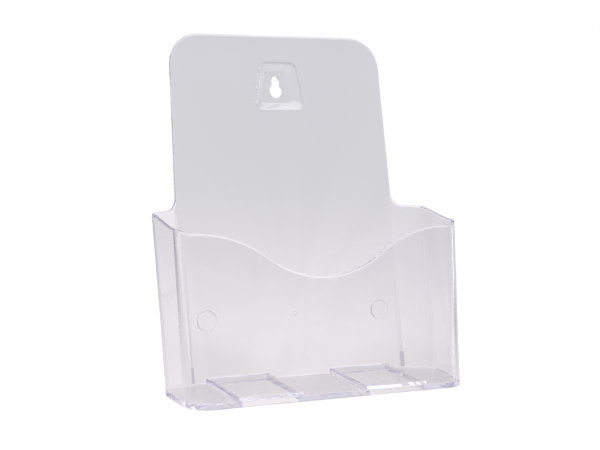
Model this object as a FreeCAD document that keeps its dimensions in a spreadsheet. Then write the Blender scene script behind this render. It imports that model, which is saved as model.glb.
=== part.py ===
import FreeCAD, Part
import math
import os

import Sketcher

# Counter and wall holder for upright leaflets and magazines: one clear moulded pocket under a
# tall back panel, all leaning back over a level floor.
#
# Frame: +Z up, the front faces -Y, millimetres. The origin is the middle of the whole holder in
# plan, on the surface that it stands on. "Reach" is a distance back from the front bottom edge.
#
# The pocket is one tube of wall between an outside and an inside loft. It is divided on its
# natural lines, the bends and the corners, into named walls that meet face to face.

SIZES = {
    # the whole holder
    "overall_height": 271.0,
    "lean_angle": 12.8,
    "wall": 2.5,
    # plan outline of the pocket's outside, on the floor and at the loft's top
    "loft_height": 150.0,
    "front_half_floor": 115.5,
    "front_half_top": 119.6,
    "corner_half_floor": 118.2,
    "corner_half_top": 118.6,
    "bend_half_floor": 92.8,
    "bend_half_top": 95.4,
    "corner_reach": 57.5,
    "back_reach": 67.9,
    "front_radius_floor": 18.0,
    "front_radius_top": 6.5,
    "back_radius_floor": 13.0,
    "back_radius_top": 5.0,
    # how far an inside corner moves along the wall, as a share of the wall thickness
    "corner_mitre": 0.65,
    "bend_mitre": 0.21,
    # the front rim: a round dip between two flat shoulders that rise at the corners
    "rim_height": 124.8,
    "dip_height": 90.0,
    "dip_half_width": 105.0,
    "dip_radius": 78.0,
    "rim_rise_start": 109.0,
    "rim_rise_end": 119.5,
    "rim_rise_height": 128.9,
    # the side rims and the shoulders of the back
    "shoulder_height": 134.2,
    "shoulder_radius": 9.0,
    "side_rim_height": 133.6,
    "fall_start": 111.0,
    "fall_end": 117.5,
    # the back panel above the shoulders
    "panel_half_top": 91.9,
    "panel_corner_radius": 25.5,
    # where the walls are divided
    "front_split": 95.0,
    "side_split_front": 18.5,
    "side_split_back": 49.5,
    # the floor and its two raised platforms
    "floor_thickness": 3.2,
    "platform_inner": 26.5,
    "platform_outer": 79.2,
    "platform_front_height": 5.8,
    "platform_back_height": 7.6,
    "platform_skin": 2.4,
    # the hanging recess and its keyhole, measured in the plane of the panel
    "recess_height": 230.8,
    "recess_half_width_bottom": 21.7,
    "recess_half_width_top": 15.8,
    "recess_half_length": 19.5,
    "recess_radius_front": 6.5,
    "recess_radius_back": 3.5,
    "recess_depth": 6.4,
    "recess_draft": 6.4,
    "recess_skin": 2.0,
    "keyhole_radius": 5.6,
    "keyhole_slot_radius": 3.35,
    "keyhole_rise": 8.6,
    "keyhole_drop": 2.8,
    # a short rib up the foot of each bend
    "rib_radius": 2.0,
    "rib_height": 17.0,
    # small moulded marks
    "pad_radius": 7.5,
    "pad_thickness": 0.8,
    "pad_offset": 75.5,
    "pad_height": 49.6,
    "gate_height": 51.6,
    "gate_radius": 1.6,
    "gate_thickness": 0.6,
}

LEAN_SIN = "sin(Sizes.lean_angle * 1deg)"
LEAN_COS = "cos(Sizes.lean_angle * 1deg)"
SLOPE = "tan(Sizes.lean_angle * 1deg)"
# thickness of a leaning wall, measured level
LEVEL_WALL = f"(Sizes.wall / {LEAN_COS})"
# y of the front bottom edge
FRONT = f"(-(Sizes.back_reach + Sizes.overall_height * {SLOPE}) / 2)"
# places that lie outside the holder: to the side, in front of it, behind it and above it
BESIDE = "130"
IN_FRONT = "-5"
BEHIND = "90"
ABOVE = "280"
# length of a block that runs right through the holder, front to back
RIGHT_THROUGH = "500"
# how far a cutter stands out past each face that it cuts
CLEAR = "1"
SAME_POINT = 1e-6

doc = FreeCAD.newDocument("leaflet_holder")
sheet = doc.addObject("Spreadsheet::Sheet", "Sizes")
for row, (alias, value) in enumerate(SIZES.items(), start=1):
    sheet.set(f"A{row}", alias)
    sheet.set(f"B{row}", str(value))
    sheet.setAlias(f"B{row}", alias)
doc.recompute()


def number(expression):
    """Value of an expression over the sheet, in millimetres."""
    value = sheet.evalExpression(expression)
    return float(getattr(value, "Value", value))


def vector(x, y):
    return FreeCAD.Vector(x, y, 0)


def new_body(name):
    return doc.addObject("PartDesign::Body", name)


def new_sketch(body, role, name, offset="0"):
    """Empty sketch on one of the body's own origin planes, moved along its normal."""
    plane = next(f for f in body.Origin.OriginFeatures if f.Role == role)
    sketch = body.newObject("Sketcher::SketchObject", name)
    sketch.AttachmentSupport = [(plane, "")]
    sketch.MapMode = "FlatFace"
    sketch.setExpression("AttachmentOffset.Base.z", offset)
    return sketch


def bind(sketch, kind, *where, to):
    """Add one dimension to a sketch and bind it to an expression."""
    index = sketch.addConstraint(Sketcher.Constraint(kind, *where, number(to)))
    sketch.setExpression(f"Constraints[{index}]", to)


def place_point(sketch, geometry, end, x, y):
    """Fix one point of a sketch at two expressions, measured from the sketch's origin."""
    for kind, value, axis in (("DistanceX", x, -2), ("DistanceY", y, -1)):
        if number(value) == 0:
            sketch.addConstraint(Sketcher.Constraint("PointOnObject", geometry, end, axis))
        else:
            bind(sketch, kind, -1, 1, geometry, end, to=value)


def end_at(sketch, geometry, point):
    """Number of the end of an edge that lies at a point: 1 is its start, 2 its end."""
    to_start, to_end = (sketch.getPoint(geometry, n).distanceToPoint(point) for n in (1, 2))
    return 1 if to_start < to_end else 2


def join(sketch, kind, first, second, point):
    """Join two edges where they meet, either Coincident or Tangent."""
    ends = end_at(sketch, first, point), end_at(sketch, second, point)
    sketch.addConstraint(Sketcher.Constraint(kind, first, ends[0], second, ends[1]))


def rounded_corner(before, corner, after, radius):
    """Start, end and arc of a corner of this radius between two straight edges."""
    to_before = (before - corner).normalize()
    to_after = (after - corner).normalize()
    half = to_before.getAngle(to_after) / 2
    start = corner + to_before * (radius / math.tan(half))
    end = corner + to_after * (radius / math.tan(half))
    inward = (to_before + to_after).normalize()
    middle = corner + inward * (radius / math.sin(half) - radius)
    return start, end, Part.Arc(start, middle, end)


def draw_outline(sketch, corners):
    """Closed outline through corners (x, y, radius), all expressions; no radius is sharp."""
    points = [vector(number(x), number(y)) for x, y, _ in corners]
    count = len(corners)
    starts, ends, arcs = list(points), list(points), {}
    for i, (_, _, radius) in enumerate(corners):
        if radius:
            before, after = points[i - 1], points[(i + 1) % count]
            starts[i], ends[i], arcs[i] = rounded_corner(before, points[i], after, number(radius))
    edges = [Part.LineSegment(ends[i], starts[(i + 1) % count]) for i in range(count)]
    lines = sketch.addGeometry(edges, False)
    for i, (x, y, radius) in enumerate(corners):
        incoming, outgoing = lines[i - 1], lines[i]
        if not radius:
            join(sketch, "Coincident", incoming, outgoing, points[i])
            place_point(sketch, outgoing, 1, x, y)
            continue
        arc = sketch.addGeometry(arcs[i], False)
        mark = sketch.addGeometry(Part.Point(points[i]), True)
        join(sketch, "Tangent", incoming, arc, starts[i])
        join(sketch, "Tangent", arc, outgoing, ends[i])
        for line in (incoming, outgoing):
            sketch.addConstraint(Sketcher.Constraint("PointOnObject", mark, 1, line))
        bind(sketch, "Radius", arc, to=radius)
        place_point(sketch, mark, 1, x, y)


def mirrored(corners):
    """Outline symmetric about x = 0, from its right-hand corners in order."""
    return corners + [(f"-({x})", y, radius) for x, y, radius in reversed(corners)]


def pad(body, sketch, length, both_ways=False):
    """Pad a sketch along its plane's normal, or half of the length each way."""
    feature = body.newObject("PartDesign::Pad", f"{body.Name}_pad")
    feature.Profile = sketch
    if both_ways:
        feature.SideType = "Symmetric"
    feature.setExpression("Length", length)
    return feature


def upright_block(name, corners):
    """Block that runs right through the holder along Y, with this outline in front view."""
    body = new_body(name)
    sketch = new_sketch(body, "XZ_Plane", f"{name}_outline")
    draw_outline(sketch, corners)
    pad(body, sketch, RIGHT_THROUGH, both_ways=True)
    return body


def leaning_block(name, x_range, y_range, heights):
    """Block between two planes that lean as the holder does, with its front and back heights."""
    body = new_body(name)
    sketch = new_sketch(body, "YZ_Plane", f"{name}_profile", x_range[0])
    front, back = y_range
    front_top, back_top = heights
    draw_outline(sketch, [
        (f"{FRONT} + {front}", "0", None),
        (f"{FRONT} + {back}", "0", None),
        (f"{FRONT} + {back} + ({back_top}) * {SLOPE}", back_top, None),
        (f"{FRONT} + {front} + ({front_top}) * {SLOPE}", front_top, None),
    ])
    pad(body, sketch, f"{x_range[1]} - ({x_range[0]})")
    return body


def combine(kind, name, base, tool):
    """Common or Cut of two objects."""
    result = doc.addObject(f"Part::{kind}", name)
    result.Base = base
    result.Tool = tool
    return result


def plan_outline(level, front, inside):
    """The pocket's outline in plan at one level, on the outside or the inside of its wall."""
    wall = "Sizes.wall" if inside else "0"
    level_wall = LEVEL_WALL if inside else "0"
    front_y = f"{front} + {level_wall}"
    corner_y = f"{front} + Sizes.corner_reach - Sizes.corner_mitre * {wall}"
    back_y = f"{front} + Sizes.back_reach - {level_wall}"
    return mirrored([
        (f"Sizes.front_half_{level} - {wall}", front_y, f"Sizes.front_radius_{level} - {wall}"),
        (f"Sizes.corner_half_{level} - {wall}", corner_y, f"Sizes.back_radius_{level} - {wall}"),
        (f"Sizes.bend_half_{level} - Sizes.bend_mitre * {wall}", back_y, None),
    ])


def loft(body, sections):
    """Ruled solid through two sketches of one body."""
    feature = body.newObject("PartDesign::AdditiveLoft", f"{body.Name}_loft")
    feature.Profile = sections[0]
    feature.Sections = sections[1:]
    feature.Ruled = True
    return feature


def pocket_loft(name, inside):
    """Solid between the pocket's plan outlines on the floor and at the loft's top."""
    body = new_body(name)
    floor = new_sketch(body, "XY_Plane", f"{name}_floor")
    draw_outline(floor, plan_outline("floor", FRONT, inside))
    top = new_sketch(body, "XY_Plane", f"{name}_top", "Sizes.loft_height")
    draw_outline(top, plan_outline("top", f"{FRONT} + Sizes.loft_height * {SLOPE}", inside))
    loft(body, [floor, top])
    return body


def front_rim_block():
    """Block under the front rim: a round dip, two round shoulders and a rise at each corner."""
    rim, dip = number("Sizes.rim_height"), number("Sizes.dip_height")
    half, radius = number("Sizes.dip_half_width"), number("Sizes.dip_radius")
    turn = 2 * math.atan2(rim - dip, half)
    shoulder = half / math.sin(turn) - radius
    joint = vector(radius * math.sin(turn), dip + radius * (1 - math.cos(turn)))
    over = vector(half - shoulder * math.sin(turn / 2), rim - shoulder * (1 - math.cos(turn / 2)))
    placed = mirrored([
        (BESIDE, "0", None),
        (BESIDE, "Sizes.rim_rise_height", None),
        ("Sizes.rim_rise_end", "Sizes.rim_rise_height", None),
        ("Sizes.rim_rise_start", "Sizes.rim_height", None),
        ("Sizes.dip_half_width", "Sizes.rim_height", None),
    ])
    points = [vector(number(x), number(y)) for x, y, _ in placed]
    right, left = points[:5], points[5:]
    edges = [Part.LineSegment(a, b) for a, b in zip(right, right[1:])]
    edges.append(Part.Arc(right[-1], over, joint))
    edges.append(Part.Arc(joint, vector(0, dip), vector(-joint.x, joint.y)))
    edges.append(Part.Arc(vector(-joint.x, joint.y), vector(-over.x, over.y), left[0]))
    edges += [Part.LineSegment(a, b) for a, b in zip(left, left[1:])]
    edges.append(Part.LineSegment(left[-1], right[0]))
    meetings = right[1:] + [joint, vector(-joint.x, joint.y)] + left + [right[0]]

    body = new_body("front_rim_block")
    sketch = new_sketch(body, "XZ_Plane", "front_rim_outline")
    lines = sketch.addGeometry(edges, False)
    for i, point in enumerate(meetings):
        first, second = lines[i], lines[(i + 1) % len(lines)]
        curved = isinstance(edges[i], Part.Arc) or isinstance(edges[(i + 1) % len(edges)], Part.Arc)
        join(sketch, "Tangent" if curved else "Coincident", first, second, point)
    for (x, y, _), point in zip(placed, points):
        line = next(n for n, edge in zip(lines, edges) if isinstance(edge, Part.LineSegment)
                    and (edge.StartPoint.isEqual(point, SAME_POINT)
                         or edge.EndPoint.isEqual(point, SAME_POINT)))
        place_point(sketch, line, end_at(sketch, line, point), x, y)
    dip_arc = lines[5]
    bind(sketch, "Radius", dip_arc, to="Sizes.dip_radius")
    place_point(sketch, dip_arc, 3, "0", "Sizes.dip_height + Sizes.dip_radius")
    pad(body, sketch, RIGHT_THROUGH, both_ways=True)
    return body


def set_on_panel(item, x, height, depth="0"):
    """Stand an object on the back panel's front face, or this far behind it, facing forward."""
    item.Placement.Rotation = FreeCAD.Rotation(FreeCAD.Vector(1, 0, 0), 90)
    item.setExpression("Placement.Rotation.Angle", "(90 - Sizes.lean_angle) * 1deg")
    item.setExpression("Placement.Base.x", x)
    item.setExpression(
        "Placement.Base.y",
        f"{FRONT} + Sizes.back_reach - {LEVEL_WALL} + ({height}) * {SLOPE} + ({depth}) * {LEAN_COS}")
    item.setExpression("Placement.Base.z", f"{height} - ({depth}) * {LEAN_SIN}")
    return item


def recess_outline(grow, radius):
    """Outline of the hanging recess in the panel's plane, wider at its foot."""
    length = f"Sizes.recess_half_length + ({grow})"
    return mirrored([
        (f"Sizes.recess_half_width_bottom + ({grow})", f"-({length})", radius),
        (f"Sizes.recess_half_width_top + ({grow})", length, radius),
    ])


def recess_loft(name, skin):
    """Solid of the hanging recess: its hollow, or its hollow and a skin round it."""
    slant = f"({skin}) / cos(atan(Sizes.recess_draft / Sizes.recess_depth))"
    depth = f"Sizes.recess_depth + ({skin})"
    shrink = f"Sizes.recess_draft * ({depth}) / Sizes.recess_depth"
    body = set_on_panel(new_body(name), "0", "Sizes.recess_height")
    mouth = new_sketch(body, "XY_Plane", f"{name}_mouth")
    draw_outline(mouth, recess_outline(slant, f"Sizes.recess_radius_front + ({skin})"))
    bottom = new_sketch(body, "XY_Plane", f"{name}_bottom", f"-({depth})")
    draw_outline(bottom, recess_outline(
        f"{slant} - {shrink}", f"Sizes.recess_radius_back + ({skin})"))
    loft(body, [mouth, bottom])
    return body


def cylinder(name, radius, length, x, height, depth="0"):
    """Round solid whose axis is square to the back panel."""
    item = doc.addObject("Part::Cylinder", name)
    item.setExpression("Radius", radius)
    item.setExpression("Height", length)
    return set_on_panel(item, x, height, depth)


def keyhole_cutter():
    """Round hole with a narrower slot above it, right through the recess's skin."""
    start = f"Sizes.recess_depth + Sizes.recess_skin + {CLEAR}"
    length = f"Sizes.recess_skin + 2 * {CLEAR}"
    hole_height = f"Sizes.recess_height - Sizes.keyhole_drop * {LEAN_COS}"
    slot_height = f"{hole_height} + Sizes.keyhole_rise * {LEAN_COS}"
    hole = cylinder("keyhole_round", "Sizes.keyhole_radius", length, "0", hole_height, start)
    slot_end = cylinder(
        "keyhole_slot_end", "Sizes.keyhole_slot_radius", length, "0", slot_height, start)
    slot = doc.addObject("Part::Box", "keyhole_slot")
    slot.setExpression("Length", "2 * Sizes.keyhole_slot_radius")
    slot.setExpression("Width", "Sizes.keyhole_rise")
    slot.setExpression("Height", length)
    set_on_panel(slot, "-Sizes.keyhole_slot_radius", hole_height, start)
    whole = doc.addObject("Part::MultiFuse", "keyhole_cutter")
    whole.Shapes = [hole, slot_end, slot]
    return whole


def floor_piece(name, x_range, heights):
    """Level or sloping piece of the pocket's floor, between the inside faces of the walls."""
    zone = leaning_block(f"{name}_zone", x_range, (IN_FRONT, BEHIND), heights)
    return combine("Common", name, pocket_inside, zone)


def platform(name, x_range):
    """Raised platform: a sloping top on two low walls, hollow underneath."""
    block = floor_piece(f"{name}_block", x_range, (
        "Sizes.platform_front_height", "Sizes.platform_back_height"))
    hollow = leaning_block(
        f"{name}_hollow",
        (f"{x_range[0]} + Sizes.platform_skin", f"{x_range[1]} - Sizes.platform_skin"),
        (IN_FRONT, BEHIND),
        ("Sizes.platform_front_height - Sizes.platform_skin",
         "Sizes.platform_back_height - Sizes.platform_skin"))
    return combine("Cut", name, block, hollow)


pieces = {}


def keep(name, item):
    """Make an object one of the holder's pieces."""
    item.Label = name
    pieces[name] = item


# the pocket's wall, as one tube, and the shapes that its rims follow
pocket_outside = pocket_loft("pocket_outside", inside=False)
pocket_inside = pocket_loft("pocket_inside", inside=True)
pocket_tube = combine("Cut", "pocket_tube", pocket_outside, pocket_inside)
front_ring = combine("Common", "front_ring", pocket_tube, front_rim_block())
back_outline = upright_block("back_outline", mirrored([
    (BESIDE, "0", None),
    (BESIDE, "Sizes.side_rim_height", None),
    ("Sizes.fall_end", "Sizes.side_rim_height", None),
    ("Sizes.fall_start", "Sizes.shoulder_height", None),
    ("Sizes.bend_half_top", "Sizes.shoulder_height", "Sizes.shoulder_radius"),
    ("Sizes.panel_half_top", "Sizes.overall_height", "Sizes.panel_corner_radius"),
]))
back_ring = combine("Common", "back_ring", pocket_tube, back_outline)

# the front wall, between its corners
front_zone = leaning_block(
    "front_zone", ("-Sizes.front_split", "Sizes.front_split"),
    (IN_FRONT, "Sizes.side_split_front"), ("Sizes.loft_height", "Sizes.loft_height"))
keep("front_wall", combine("Common", "front_wall_cut", front_ring, front_zone))

# corners, side walls and back wings, left and right
for side, sign in (("left", -1), ("right", 1)):
    beside = ("Sizes.front_split", BESIDE) if sign > 0 else (f"-{BESIDE}", "-Sizes.front_split")
    corner_zone = leaning_block(
        f"{side}_corner_zone", beside, (IN_FRONT, "Sizes.side_split_front"),
        ("Sizes.loft_height", "Sizes.loft_height"))
    keep(f"{side}_front_corner",
         combine("Common", f"{side}_corner_cut", front_ring, corner_zone))

    side_zone = leaning_block(
        f"{side}_side_zone", beside, ("Sizes.side_split_front", "Sizes.side_split_back"),
        ("Sizes.rim_rise_height", "Sizes.side_rim_height"))
    keep(f"{side}_side_wall", combine("Common", f"{side}_side_cut", pocket_tube, side_zone))

    wing_block = upright_block(f"{side}_wing_block", [
        (f"{sign} * Sizes.bend_half_floor", "0", None),
        (f"{sign} * {BESIDE}", "0", None),
        (f"{sign} * {BESIDE}", "Sizes.loft_height", None),
        (f"{sign} * Sizes.bend_half_top", "Sizes.loft_height", None),
    ])
    wing_strip = combine("Common", f"{side}_wing_strip", back_ring, wing_block)
    wing_zone = leaning_block(
        f"{side}_wing_zone", (f"-{BESIDE}", BESIDE), ("Sizes.side_split_back", BEHIND),
        ("Sizes.loft_height", "Sizes.loft_height"))
    keep(f"{side}_back_wing", combine("Common", f"{side}_wing_cut", wing_strip, wing_zone))

# the back panel, full height between the two bends, with its hanging recess
panel_slab = leaning_block(
    "panel_slab", (f"-{BESIDE}", BESIDE), (f"Sizes.back_reach - {LEVEL_WALL}", "Sizes.back_reach"),
    ("Sizes.overall_height", "Sizes.overall_height"))
panel_shape = combine("Common", "panel_shape", panel_slab, back_outline)
between_bends = upright_block("between_bends", mirrored([
    ("Sizes.bend_half_floor", "0", None),
    ("Sizes.bend_half_top", "Sizes.loft_height", None),
    (BESIDE, "Sizes.loft_height", None),
    (BESIDE, ABOVE, None),
]))
panel_whole = combine("Common", "panel_whole", panel_shape, between_bends)
recess_outside = recess_loft("recess_outside", "Sizes.recess_skin")
recess_inside = recess_loft("recess_inside", "0")
keep("back_panel", combine("Cut", "back_panel_cut", panel_whole, recess_outside))
recess_tray = combine("Cut", "recess_tray", recess_outside, recess_inside)
keep("hanging_recess", combine("Cut", "hanging_recess_cut", recess_tray, keyhole_cutter()))

# the floor: three low pads between and beside two raised platforms
level = ("Sizes.floor_thickness", "Sizes.floor_thickness")
inner, outer = "Sizes.platform_inner", "Sizes.platform_outer"
keep("centre_floor", floor_piece("centre_floor_cut", (f"-{inner}", inner), level))
keep("left_floor", floor_piece("left_floor_cut", (f"-{BESIDE}", f"-{outer}"), level))
keep("right_floor", floor_piece("right_floor_cut", (outer, BESIDE), level))
keep("left_platform", platform("left_platform_cut", (f"-{outer}", f"-{inner}")))
keep("right_platform", platform("right_platform_cut", (inner, outer)))

# a short rib up the foot of each bend, inside the pocket
for side, sign, floor in (("left", -1, pieces["left_floor"]), ("right", 1, pieces["right_floor"])):
    bar = doc.addObject("Part::Cylinder", f"{side}_rib_bar")
    bar.setExpression("Radius", "Sizes.rib_radius")
    bar.setExpression("Height", f"Sizes.rib_height / {LEAN_COS}")
    bar.Placement.Rotation = FreeCAD.Rotation(FreeCAD.Vector(1, 0, 0), -1)
    bar.setExpression("Placement.Rotation.Angle", "Sizes.lean_angle * 1deg")
    bar.setExpression(
        "Placement.Base.x",
        f"{sign} * (Sizes.bend_half_floor - Sizes.bend_mitre * Sizes.wall)")
    bar.setExpression("Placement.Base.y", f"{FRONT} + Sizes.back_reach - {LEVEL_WALL}")
    in_bend = combine("Common", f"{side}_rib_in_bend", pocket_inside, bar)
    keep(f"{side}_bend_rib", combine("Cut", f"{side}_rib_cut", in_bend, floor))

# small moulded marks: two round pads on the panel's front and a gate stub on its back
for side, sign in (("left", -1), ("right", 1)):
    keep(f"{side}_round_pad", cylinder(
        f"{side}_pad_disc", "Sizes.pad_radius", "Sizes.pad_thickness",
        f"{sign} * Sizes.pad_offset", "Sizes.pad_height"))
keep("gate_stub", cylinder(
    "gate_disc", "Sizes.gate_radius", "Sizes.gate_thickness", "0", "Sizes.gate_height",
    "Sizes.wall + Sizes.gate_thickness"))

doc.recompute()

for item in doc.Objects:
    faults = [state for state in item.State if state in ("Invalid", "Error")]
    if faults:
        raise RuntimeError(f"{item.Name} is {faults}")
for name, item in pieces.items():
    shape = item.Shape
    if shape.isNull() or not shape.isValid() or not shape.Solids:
        raise RuntimeError(f"{name} has no valid solid")
    print(f"{name}: {len(shape.Solids)} solid(s), {shape.Volume / 1000:.2f} cm3")

os.makedirs("parts", exist_ok=True)
for name, item in pieces.items():
    item.Shape.exportStep(f"parts/{name}.step")
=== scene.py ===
"""Clear moulded holder for upright leaflets and magazines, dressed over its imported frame."""
import logging
import math
from collections import Counter
from dataclasses import dataclass, field
from enum import Enum
from typing import ClassVar

import bmesh
import bpy
from mathutils import Matrix, Vector
from mathutils.geometry import delaunay_2d_cdt


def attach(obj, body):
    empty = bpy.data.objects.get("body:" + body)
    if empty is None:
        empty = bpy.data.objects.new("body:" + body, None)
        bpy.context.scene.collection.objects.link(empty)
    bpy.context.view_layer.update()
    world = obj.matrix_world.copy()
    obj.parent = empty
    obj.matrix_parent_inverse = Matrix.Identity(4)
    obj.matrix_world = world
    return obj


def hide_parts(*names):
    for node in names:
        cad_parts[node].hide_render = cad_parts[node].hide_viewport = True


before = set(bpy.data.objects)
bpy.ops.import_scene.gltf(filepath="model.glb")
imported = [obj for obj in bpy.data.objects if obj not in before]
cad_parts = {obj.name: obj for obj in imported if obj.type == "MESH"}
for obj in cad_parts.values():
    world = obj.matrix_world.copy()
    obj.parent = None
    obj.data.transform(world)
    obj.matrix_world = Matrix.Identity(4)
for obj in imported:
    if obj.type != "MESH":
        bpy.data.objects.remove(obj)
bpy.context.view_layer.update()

log = logging.getLogger("holder")

MM = 0.001
CUBIC_CM = 1e-6
Pair = tuple[float, float]
Place = tuple[float, float, float]
Colour = tuple[float, float, float, float]
Row = list[int]
Face = tuple[int, ...]
Socket = bpy.types.NodeSocket

WHITE: Colour = (1.0, 1.0, 1.0, 1.0)


class Skin(Enum):
    """The two faces of the moulded wall, as a share of its thickness from the outside."""

    OUTSIDE = 0.0
    INSIDE = 1.0


class Stretch(Enum):
    """Stretches of the wall in plan, from the middle of the front to the middle of the back."""

    FRONT = 0
    FRONT_CORNER = 1
    SIDE = 2
    BACK_CORNER = 3
    WING = 4
    BEND = 5
    PANEL = 6


def blend(a: float, b: float, share: float) -> float:
    """Return the number this share of the way from a to b."""
    return a + (b - a) * share


def blend_pair(a: Pair, b: Pair, share: float) -> Pair:
    """Return the point this share of the way from a to b."""
    return blend(a[0], b[0], share), blend(a[1], b[1], share)


def smooth(value: float, low: float, high: float) -> float:
    """Return 0 below low and 1 above high, with a soft rise between them."""
    share = min(max((value - low) / (high - low), 0.0), 1.0)
    return share * share * (3.0 - 2.0 * share)


def spread(low: float, high: float, count: int) -> list[float]:
    """Return count + 1 evenly spaced numbers from low to high."""
    return [blend(low, high, i / count) for i in range(count + 1)]


def loop_pairs(loop: list | tuple) -> list[tuple]:
    """Return each item of a closed loop with the one after it."""
    return list(zip(loop, loop[1:] + loop[:1]))


def quarter_turn(radius: float, steps: int = 5) -> list[Pair]:
    """Return the points of a rounding from a wall to a level face, as steps in and heights."""
    return [(radius * (1 - math.cos(a)), radius * (1 - math.sin(a)))
            for a in spread(0, math.pi / 2, steps)[1:]]


@dataclass(frozen=True)
class RoundCorner:
    """One corner of an outline with its arc.

    Attributes:
        start: Where the arc leaves the edge before the corner.
        end: Where it joins the edge after the corner.
        centre: Centre of the arc.
        radius: Radius of the arc.
    """

    start: Pair
    end: Pair
    centre: Pair
    radius: float

    @classmethod
    def between(cls, before: Pair, corner: Pair, after: Pair, radius: float) -> "RoundCorner":
        """Fit an arc of this radius into a corner.

        Args:
            before: A point on the edge that leads to the corner.
            corner: The corner itself.
            after: A point on the edge that leaves it.
            radius: Radius of the arc.

        Returns:
            The rounded corner.
        """
        here = Vector(corner)
        back = (Vector(before) - here).normalized()
        on = (Vector(after) - here).normalized()
        half = back.angle(on) / 2
        middle = here + (back + on).normalized() * (radius / math.sin(half))
        run = radius / math.tan(half)
        return cls(tuple(here + back * run), tuple(here + on * run), tuple(middle), radius)

    def at(self, share: float) -> Pair:
        """Return the point this share of the way round the arc."""
        first = math.atan2(self.start[1] - self.centre[1], self.start[0] - self.centre[0])
        last = math.atan2(self.end[1] - self.centre[1], self.end[0] - self.centre[0])
        turn = (last - first + math.pi) % (2 * math.pi) - math.pi
        angle = first + turn * share
        return (self.centre[0] + self.radius * math.cos(angle),
                self.centre[1] + self.radius * math.sin(angle))

    def length(self) -> float:
        """Return the length of the arc."""
        chord = math.dist(self.start, self.end)
        return 2 * self.radius * math.asin(min(1.0, chord / (2 * self.radius)))


@dataclass(frozen=True)
class WallPlan:
    """Plan of the pocket's wall on the floor and at the loft's top, in millimetres.

    A point of the wall has a run, its distance along the wall from the middle of the front, and a
    reach, its distance back from the front bottom edge. The right half is described.
    """

    wall: float = 2.5
    lean: float = math.radians(12.8)
    loft_height: float = 150.0
    front_half: Pair = (115.5, 119.6)
    corner_half: Pair = (118.2, 118.6)
    bend_half: Pair = (92.8, 95.4)
    corner_reach: float = 57.5
    back_reach: float = 67.9
    front_radius: Pair = (18.0, 6.5)
    back_radius: Pair = (13.0, 5.0)
    bend_radius: Pair = (6.0, 6.0)
    corner_mitre: float = 0.65
    bend_mitre: float = 0.21
    plain_front: float = 88.0
    plain_back: float = 82.0
    overall_height: float = 271.0

    @property
    def slope(self) -> float:
        """Distance that the holder leans back for each unit of height."""
        return math.tan(self.lean)

    @property
    def level_wall(self) -> float:
        """Thickness of a leaning wall, measured level."""
        return self.wall / math.cos(self.lean)

    @property
    def front_edge(self) -> float:
        """Place of the front bottom edge along Y."""
        return -(self.back_reach + self.overall_height * self.slope) / 2

    def corners(self, level: int, skin: float) -> list[RoundCorner]:
        """Return the front corner, the back corner and the bend.

        Args:
            level: 0 on the floor, 1 at the loft's top.
            skin: Share of the wall's thickness from the outside.

        Returns:
            The three rounded corners in order.
        """
        wall, level_wall = self.wall * skin, self.level_wall * skin
        path = [
            (0.0, level_wall),
            (self.front_half[level] - wall, level_wall),
            (self.corner_half[level] - wall, self.corner_reach - self.corner_mitre * wall),
            (self.bend_half[level] - self.bend_mitre * wall, self.back_reach - level_wall),
            (0.0, self.back_reach - level_wall),
        ]
        radii = [self.front_radius, self.back_radius, self.bend_radius]
        return [RoundCorner.between(path[i], path[i + 1], path[i + 2], radii[i][level] - wall)
                for i in range(3)]


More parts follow.
